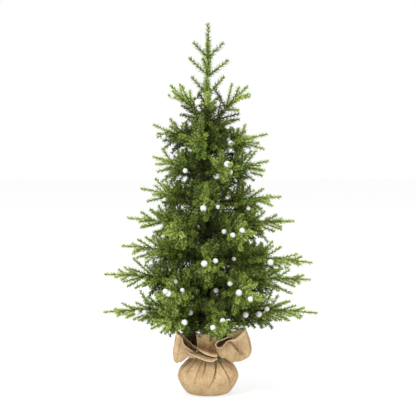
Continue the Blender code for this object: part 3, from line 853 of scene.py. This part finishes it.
# burlap sack: body outline as radius and height, then the collar's curve at key angles
sack = {
    "body": ((0.0, 0.0), (0.030, 0.0), (0.047, 0.0008), (0.0570, 0.0075), (0.0660, 0.0205), (0.0745, 0.041),
             (0.0690, 0.060), (0.0565, 0.0755), (0.0450, 0.088), (0.0425, 0.098)),
    "neck": (0.0425, 0.098),
    "bodyShare": 0.56,
    "around": 420,
    "along": 80,
    "foldAround": 48,
    "foldAlong": 14,
    "wall": 0.0020,
    "reach": 0.100,
    "top": 0.150,
    "collar": (  # degrees from +X, then points from neck to hem as shares of reach and top
        (0, ((0.55, 0.68), (0.82, 0.58), (1.05, 0.73), (0.92, 1.06))),
        (30, ((0.54, 0.69), (0.83, 0.62), (0.90, 0.75), (0.78, 0.97))),
        (60, ((0.54, 0.68), (0.89, 0.58), (0.98, 0.70), (0.82, 0.93))),
        (90, ((0.53, 0.69), (0.68, 0.66), (0.70, 0.75), (0.66, 0.83))),
        (120, ((0.54, 0.68), (0.87, 0.58), (0.94, 0.70), (0.78, 0.91))),
        (150, ((0.54, 0.69), (0.79, 0.63), (0.82, 0.76), (0.72, 0.95))),
        (180, ((0.54, 0.68), (0.79, 0.54), (0.84, 0.71), (0.76, 1.02))),
        (205, ((0.55, 0.67), (0.83, 0.54), (0.89, 0.69), (0.79, 1.01))),
        (228, ((0.53, 0.69), (0.70, 0.65), (0.80, 0.72), (0.78, 0.84))),
        (241, ((0.51, 0.69), (0.62, 0.65), (0.66, 0.69), (0.62, 0.74))),
        (250, ((0.47, 0.70), (0.51, 0.75), (0.51, 0.84), (0.50, 0.94))),
        (290, ((0.46, 0.70), (0.49, 0.76), (0.48, 0.84), (0.46, 0.94))),
        (304, ((0.52, 0.68), (0.66, 0.65), (0.68, 0.78), (0.58, 0.92))),
        (320, ((0.55, 0.68), (0.80, 0.56), (0.94, 0.69), (0.80, 0.94))),
        (340, ((0.56, 0.67), (0.84, 0.57), (1.10, 0.70), (0.93, 1.06))),
    ),
    "layers": (  # loose folds of the collar: lines of pixel and depth towards the hem, with their painted shade
        ((((177, 338, -0.020), (182, 347, -0.040), (188, 353, -0.050), (196, 356, -0.050)), 0.7),
         (((179, 337, -0.012), (185, 343, -0.030), (191, 348, -0.040), (198, 353, -0.046)), 0.8),
         (((178, 331, -0.010), (185, 337.5, -0.028), (192, 344, -0.042), (199, 350, -0.052)), 0.3)),
        ((((196, 334, -0.052), (203, 333, -0.056), (210, 334, -0.054), (218, 337, -0.046)), 0.0),
         (((197, 342, -0.056), (204, 341, -0.054), (211, 342, -0.050), (218, 345, -0.044)), 0.35),
         (((198, 347, -0.060), (205, 348.5, -0.055), (211, 350.5, -0.051), (218, 352, -0.047)), 1.1),
         (((199, 350, -0.066), (205, 353.5, -0.069), (211, 356, -0.067), (217, 357, -0.060)), 0.0)),
        ((((188, 347, -0.044), (196, 350, -0.048), (204, 353.5, -0.052), (211, 356, -0.053),
           (217, 357, -0.053)), 1.2),
         (((186.5, 350, -0.056), (195, 353.5, -0.062), (203, 357, -0.068), (210, 359, -0.069),
           (217, 358, -0.060)), 0.4),
         (((185.5, 350, -0.064), (194, 355.5, -0.072), (202, 359, -0.078), (211, 361.5, -0.077),
           (217.5, 358.5, -0.063)), 0.0)),
        ((((232, 337, -0.034), (227, 339, -0.030), (223, 344, -0.030), (219, 345, -0.030),
           (217.5, 343, -0.030), (219.5, 340, -0.030), (224, 338, -0.030), (229, 335.5, -0.030)), 1.6),
         (((232.5, 339, -0.054), (226.5, 341, -0.052), (222.5, 346, -0.052), (218.5, 346.8, -0.052),
           (216.8, 344.5, -0.052), (218.8, 341.8, -0.052), (223.3, 339.8, -0.052),
           (228.3, 337.3, -0.050)), 0.8),
         (((233, 339.5, -0.062), (226.5, 341.5, -0.064), (222.3, 346.8, -0.064), (218, 347.5, -0.064),
           (216, 344.8, -0.064), (218.2, 341.8, -0.064), (223, 340, -0.062), (228, 337.5, -0.058)), 0.1)),
        # a sheet painted dark inside the curl: painted shade in its mouth
        ((((217.5, 344.5, -0.056), (220, 341.8, -0.056), (224, 340, -0.055), (229, 337.8, -0.052)), 2.2),
         (((218.5, 346, -0.056), (222, 345, -0.056), (225.5, 341.5, -0.055), (231, 338.8, -0.052)), 2.2)),
        ((((226.5, 334, -0.034), (232, 332.5, -0.030), (238, 329.5, -0.026), (243.5, 327, -0.020)), 0.1),
         (((227, 338.5, -0.038), (232.5, 336.5, -0.036), (238.5, 334, -0.031), (244, 331.5, -0.025)), 0.0),
         (((228, 343, -0.040), (233, 341.5, -0.038), (239, 339.5, -0.033), (244.5, 337, -0.027)), 0.6)),
    ),
    "pleats": (  # angle at the neck, angle and height of the low end, depth
        (299, 270, 0.018, 0.0055), (301, 320, 0.020, 0.0085), (304, 337, 0.058, 0.0055),
        (266, 260, 0.054, 0.0055), (292, 283, 0.046, 0.0035), (254, 242, 0.024, 0.0035),
        (232, 222, 0.048, 0.0042), (212, 193, 0.036, 0.0070), (170, 165, 0.046, 0.0040),
        (140, 134, 0.036, 0.0048), (112, 116, 0.046, 0.0040), (85, 80, 0.032, 0.0050),
        (60, 66, 0.046, 0.0040), (35, 28, 0.036, 0.0048), (8, 2, 0.046, 0.0040),
        (345, 350, 0.052, 0.0038),
    ),
    "creases": (  # in the collar: angle and share at the hem, angle and share at the low end, depth
        (312, 1.0, 336, 0.62, 0.0075), (346, 1.0, 340, 0.50, 0.0040), (214, 1.0, 208, 0.55, 0.0035),
        (152, 1.0, 160, 0.50, 0.0050), (66, 1.0, 58, 0.50, 0.0060), (24, 1.0, 32, 0.45, 0.0050),
        (108, 1.0, 118, 0.55, 0.0050),
    ),
    "pleatWidth": math.radians(1.6),
    "pleatWidths": (0.6, 0.8),  # width at the neck and what the low end adds
    "pleatFade": 0.6,
    "pleatFrom": 0.01,  # none below this height
    "pleatMost": 0.0043,  # depth that is fully in painted shade
    "creaseWidth": math.radians(2.6),
    "creaseFade": 0.5,
    "creaseShade": 0.6,
    "gather": 0.0045,  # waves of the collar: how far they move the cloth, then the size of their noise
    "gatherScale": 5.5,
    "fineGather": 0.6,
    "gatherEnd": 1.3,
    "hemLift": 0.0050,
    "hemScale": 2.6,
    "hemOffset": 7,
    "sway": 0.0030,
    "swayScale": 3.2,
    "swayRise": 3,
    "rumple": 0.0010,
    "rumpleScale": 38,
    "grain": 0.0004,
    "grainScale": 110,
    "rumpleFrom": 0.004,
    "rumpleFull": 0.03,
    "foldRumple": 0.0012,
    "foldScale": 70,
    "foldPush": Vector((0.3, 1, 0.5)),
    "foldDepth": 0.16,  # share of the weave that a loose fold shows
}


def smoothBetween(points, share):
    # a smooth curve through evenly counted points
    most = len(points) - 1
    place = min(max(share, 0.0), 1.0) * most
    index = min(int(place), len(points) - 2)
    part = place - index
    near = [Vector(points[min(max(index + step, 0), most)]) for step in (-1, 0, 1, 2)]
    before, first, second, after = near
    return (first * 2 + (second - before) * part + (before * 2 - first * 5 + second * 4 - after) * part ** 2
            + (first * 3 - before - second * 3 + after) * part ** 3) / 2


def collarPoints(angle):
    # the collar's curve at any angle, eased between the two nearest keys
    keys = sack["collar"]
    degrees = math.degrees(angle) % 360
    index = max(number for number, (key, points) in enumerate(keys) if key <= degrees)
    low, first = keys[index]
    high, second = keys[(index + 1) % len(keys)]
    part = (degrees - low) / ((high - low) % 360)
    part = part * part * (3 - 2 * part)
    points = [Vector(sack["neck"])]
    for start, end in zip(first, second):
        share = Vector(start).lerp(Vector(end), part)
        points.append(Vector((share.x * sack["reach"], share.y * sack["top"])))
    return points


def angleBetween(angle, middle):
    return (angle - middle + math.pi) % math.tau - math.pi


def pleatDepth(angle, height):
    depth = 0.0
    top = sack["neck"][1]
    narrow, wider = sack["pleatWidths"]
    for first, last, low, most in sack["pleats"]:
        fall = (top - height) / (top - low)
        if 0 <= fall < 1:
            away = angleBetween(angle, math.radians(first + (last - first) * fall))
            width = sack["pleatWidth"] * (narrow + wider * fall)
            depth += most * (1 - fall) ** sack["pleatFade"] * math.exp(-(away / width) ** 2)
    return depth


def creaseDepth(angle, share):
    depth = 0.0
    for first, start, last, end, most in sack["creases"]:
        part = (share - start) / (end - start)
        if 0 <= part < 1:
            away = angleBetween(angle, math.radians(first + (last - first) * part))
            depth += most * (1 - part) ** sack["creaseFade"] * math.exp(-(away / sack["creaseWidth"]) ** 2)
    return depth


def sackPoint(angle, along):
    outward = Vector((math.cos(angle), math.sin(angle), 0))
    ruffle = 0.0
    if along < sack["bodyShare"]:
        radius, height = smoothBetween(sack["body"], along / sack["bodyShare"])
        radius -= pleatDepth(angle, height) if height > sack["pleatFrom"] else 0.0
    else:
        share = (along - sack["bodyShare"]) / (1 - sack["bodyShare"])
        radius, height = smoothBetween(collarPoints(angle), share)
        gathers = noise.noise(outward * sack["gatherScale"])
        gathers += sack["fineGather"] * noise.noise(outward * (2 * sack["gatherScale"]))
        ruffle = math.sin(math.pi * min(share * sack["gatherEnd"], 1.0))
        lift = noise.noise(outward * sack["hemScale"] + up * sack["hemOffset"])
        height += sack["gather"] * ruffle * gathers + sack["hemLift"] * share * lift
        radius -= pleatDepth(angle, sack["neck"][1]) * (1 - share) ** 2 + creaseDepth(angle, share)
        sway = noise.noise(outward * sack["swayScale"] + up * along * sack["swayRise"])
        radius += sack["sway"] * share * sway
    point = outward * radius + up * height
    if height > sack["rumpleFrom"]:
        rumple = noise.noise(point * sack["rumpleScale"]) * (sack["rumple"] + sack["rumple"] * ruffle)
        rumple += noise.noise(point * sack["grainScale"]) * sack["grain"]
        point += outward * rumple * min(height / sack["rumpleFull"], 1.0)
    point.z = max(point.z, 0.0)
    return point


# burlap finish: threads on the weave's UV map, slubs and patches on the object, painted shade in the folds
# and a painted highlight on the hem
burlap = {
    "colour": (0.56, 0.39, 0.21),
    "roughness": 0.93,
    "specular": 0.1,
    "warpThreads": 210,
    "weftThreads": 110,
    "threadShare": 0.10,
    "slubShare": 0.62,
    "slubNoise": (260.0, 4.0, 0.7),  # scale, detail, roughness
    "patchShare": 0.38,
    "patchNoise": (38.0, 2.0),
    "hemFrom": 0.975,
    "hemHighlight": 0.16,
    "foldShade": 0.27,
    "tones": [(0.08, (0.035, 0.020, 0.010, 1)), (0.28, (0.230, 0.125, 0.055, 1)),
              (0.48, (0.440, 0.308, 0.165, 1)), (0.72, (0.640, 0.478, 0.288, 1))],
    "bumpStrength": 0.5,
    "bumpDistance": 0.0008,
    "rimHighlightColour": (0.66, 0.50, 0.31),
    "rimRoughness": 0.9,
    "rimScale": 300.0,
    "rimHighlightTones": [(0.35, (0.52, 0.38, 0.22, 1)), (0.65, (0.74, 0.58, 0.38, 1))],
}


def burlapMaterial():
    material, shader, maker = newMaterial("burlapWeave", burlap["colour"], burlap["roughness"])
    place = maker.out(maker.node("ShaderNodeUVMap", {"uv_map": "weave"}), "UV")
    split = maker.node("ShaderNodeSeparateXYZ", None, Vector=place)
    across, along = maker.out(split, "X"), maker.out(split, "Y")
    warp = (across * (math.tau * burlap["warpThreads"])).maths("SINE", 0.0)
    weft = (along * (math.tau * burlap["weftThreads"])).maths("SINE", 0.0)
    spot = objectPlace(maker)
    slub = noiseOf(maker, spot, *burlap["slubNoise"])
    patch = noiseOf(maker, spot, *burlap["patchNoise"])
    thread = warp * weft * burlap["threadShare"] + slub * burlap["slubShare"] + patch * burlap["patchShare"]
    # a painted highlight along the hem
    hem = along.maths("GREATER_THAN", burlap["hemFrom"])
    # painted shade in pleats, creases and loose folds, carried by the fold attribute
    fold = maker.out(maker.node("ShaderNodeAttribute", {"attribute_name": "fold"}), "Fac")
    tone = thread + hem * burlap["hemHighlight"] - fold * burlap["foldShade"]
    link(rampOf(maker, tone, burlap["tones"]), shader, "Base Color")
    bump = maker.node("ShaderNodeBump", None, Strength=burlap["bumpStrength"],
                      Distance=burlap["bumpDistance"], Height=thread)
    link(maker.out(bump), shader, "Normal")
    shader.inputs["Specular IOR Level"].default_value = burlap["specular"]
    return material


def hemHighlightMaterial():
    # a lighter finish for the cloth's cut edges: a painted highlight on the hem
    material, shader, thread = grainMaterial("burlapHemHighlight", burlap["rimHighlightColour"], burlap["rimRoughness"],
                                             burlap["rimScale"], burlap["rimHighlightTones"])
    return material


def gridShares(vert):
    return (vert.co.x + 1) / 2, (vert.co.y + 1) / 2


def layFold(bm, weave, fold, lines):
    # a loose fold of the cloth, drawn through its lines
    paths = [[pointAt(spot[:2], spot[2]) for spot in spots] for spots, shade in lines]
    shades = [Vector((shade, 0)) for spots, shade in lines]
    made = bmesh.ops.create_grid(bm, x_segments=sack["foldAround"], y_segments=sack["foldAlong"], size=1.0)
    across = (paths[-1][0] - paths[-1][-1]).length / (math.tau * sack["reach"])
    for face in facesOf(made):
        for loop in face.loops:
            place, share = gridShares(loop.vert)
            loop[weave].uv = (place * across, 1 - sack["foldDepth"] * (1 - share))
    for vert in made["verts"]:
        place, share = gridShares(vert)
        vert.co = smoothBetween([smoothBetween(path, place) for path in paths], share)
        vert.co += sack["foldPush"] * noise.noise(vert.co * sack["foldScale"]) * sack["foldRumple"]
        # the painted shade of the fold, line by line
        vert[fold] = smoothBetween(shades, share).x


def sewSack():
    bm = bmesh.new()
    weave = bm.loops.layers.uv.new("weave")
    bmesh.ops.create_grid(bm, x_segments=sack["around"], y_segments=sack["along"], size=1.0, calc_uvs=True)
    fold = bm.verts.layers.float.new("fold")
    for vert in bm.verts:
        angle, along = (vert.co.x + 1) * math.pi, (vert.co.y + 1) / 2
        vert.co = sackPoint(angle, along)
        share = (along - sack["bodyShare"]) / (1 - sack["bodyShare"])
        # painted shade in the pleats and creases, darker the deeper they are
        crease = sack["creaseShade"] * creaseDepth(angle, share)
        depth = pleatDepth(angle, vert.co.z) if share < 0 else crease
        vert[fold] = min(depth / sack["pleatMost"], 1.0)
    bmesh.ops.remove_doubles(bm, verts=bm.verts[:], dist=1e-6)
    for lines in sack["layers"]:
        layFold(bm, weave, fold, lines)
    bmesh.ops.recalc_face_normals(bm, faces=bm.faces[:])
    area = sum(face.calc_area() for face in bm.faces)
    piece = addPiece("burlap_cloth", bm, [burlapMaterial(), hemHighlightMaterial()], "base", smooth=True)
    wall = piece.modifiers.new("wall", "SOLIDIFY")
    wall.thickness = sack["wall"]
    wall.offset = -1.0
    # the cloth's cut edges take the hem's painted highlight
    wall.material_offset_rim = 1
    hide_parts("burlap_sack")


# hidden hard parts keep their solids: colour, roughness, metallic and the size of their grain
hardParts = {
    "trunk_pole": ((0.020, 0.040, 0.018), 0.45, 0.3, 160.0),
    "trunk_socket": ((0.34, 0.34, 0.35), 0.38, 1.0, 120.0),
    "leader_sleeve": ((0.050, 0.036, 0.020), 0.55, 0.0, 140.0),
    "base_weight": ((0.42, 0.41, 0.39), 0.9, 0.0, 90.0),
    "neck_tie": ((0.060, 0.115, 0.028), 0.5, 0.0, 300.0),
    "branch_ring": ((0.045, 0.034, 0.020), 0.5, 0.0, 220.0),
}
grainTones = ((0.3, 0.8), (0.7, 1.15))  # place on the ramp, and how dark or light the colour is there
grainRoughness = 0.2


def finishHardParts():
    for start, (colour, roughness, metallic, scale) in hardParts.items():
        tones = [(place, tuple(part * light for part in colour) + (1,)) for place, light in grainTones]
        material, shader, grain = grainMaterial(start + "_finish", colour, roughness, scale, tones,
                                                metallic)
        link(grain * grainRoughness + (roughness - grainRoughness / 2), shader, "Roughness")
        for name, node in frame["nodes"].items():
            if name.startswith(start):
                node.data.materials.clear()
                node.data.materials.append(material)


stage = {
    "white": (1, 1, 1, 1),
    "skyLight": 1.0,  # what lights the tree
    "backdrop": 1.0,  # what the camera and reflections see
    "floorSize": 6.0,
    "floorDrop": 0.0006,
    "floorColour": (0.92, 0.92, 0.92),
    "floorRoughness": 0.9,
    "floorGlow": 0.62,  # share of plain white that the camera sees
}


def addWorld():
    world = bpy.data.worlds.new("studio")
    world.use_nodes = True
    scene.world = world
    nodes = world.node_tree.nodes
    maker = Sock(world.node_tree, None)
    soft = nodes["Background"]
    soft.inputs["Color"].default_value = stage["white"]
    soft.inputs["Strength"].default_value = stage["skyLight"]
    white = maker.node("ShaderNodeBackground", None, Color=stage["white"], Strength=stage["backdrop"])
    path = maker.node("ShaderNodeLightPath")
    seen = maker.out(path, "Is Camera Ray").maths("MAXIMUM", maker.out(path, "Is Glossy Ray"))
    mix = maker.node("ShaderNodeMixShader", None, i0=seen, i1=maker.out(soft), i2=maker.out(white))
    link(maker.out(mix), nodes["World Output"], "Surface")


def addFloor():
    bm = bmesh.new()
    bmesh.ops.create_grid(bm, x_segments=1, y_segments=1, size=stage["floorSize"])
    bmesh.ops.translate(bm, verts=bm.verts[:], vec=(0, 0, -stage["floorDrop"]))
    mesh = bpy.data.meshes.new("floor")
    bm.to_mesh(mesh)
    bm.free()
    floor = bpy.data.objects.new("floor", mesh)
    scene.collection.objects.link(floor)
    material, shader, maker = newMaterial("paleFloor", stage["floorColour"], stage["floorRoughness"])
    glow = maker.node("ShaderNodeEmission", None, Color=stage["white"], Strength=stage["backdrop"])
    path = maker.node("ShaderNodeLightPath")
    seen = maker.out(path, "Is Camera Ray") * stage["floorGlow"]
    blend = maker.node("ShaderNodeMixShader", None, i0=seen, i1=maker.out(shader), i2=maker.out(glow))
    link(maker.out(blend), material.node_tree.nodes["Material Output"], "Surface")
    mesh.materials.append(material)


lamps = (  # name, place, size, power
    ("key", (-1.6, -2.2, 2.4), 0.8, 76.0),
    ("fill", (2.2, -1.8, 1.5), 1.8, 24.0),
    ("back", (0.4, 2.4, 2.6), 1.8, 30.0),
)


def addLamps():
    for name, place, size, power in lamps:
        light = bpy.data.lights.new(name, "AREA")
        light.size = size
        light.energy = power
        lamp = bpy.data.objects.new(name, light)
        lamp.location = place
        lamp.rotation_euler = (shot["target"] - Vector(place)).to_track_quat("-Z", "Y").to_euler()
        scene.collection.objects.link(lamp)


scene.view_settings.view_transform = "Standard"
addCamera()
addWorld()
addFloor()
addLamps()
print("stage set")

green = needleMaterial()
kit = makeSprigs()
print("sprigs made")
branches = [readBranch(joint) for joint in frame["joints"]]
perches = []
for found in branches:
    growBranch(kit, found, branches, green, perches)
growLeader(kit, green)
wrapPole(kit, green)
print("foliage laid on", len(branches), "branches, the leader and the pole")
hangGlobes(perches)
sewSack()
finishHardParts()
faces = sum(len(item.data.polygons) for item in scene.objects if item.type == "MESH")
print("hard parts finished,", faces, "faces in all")
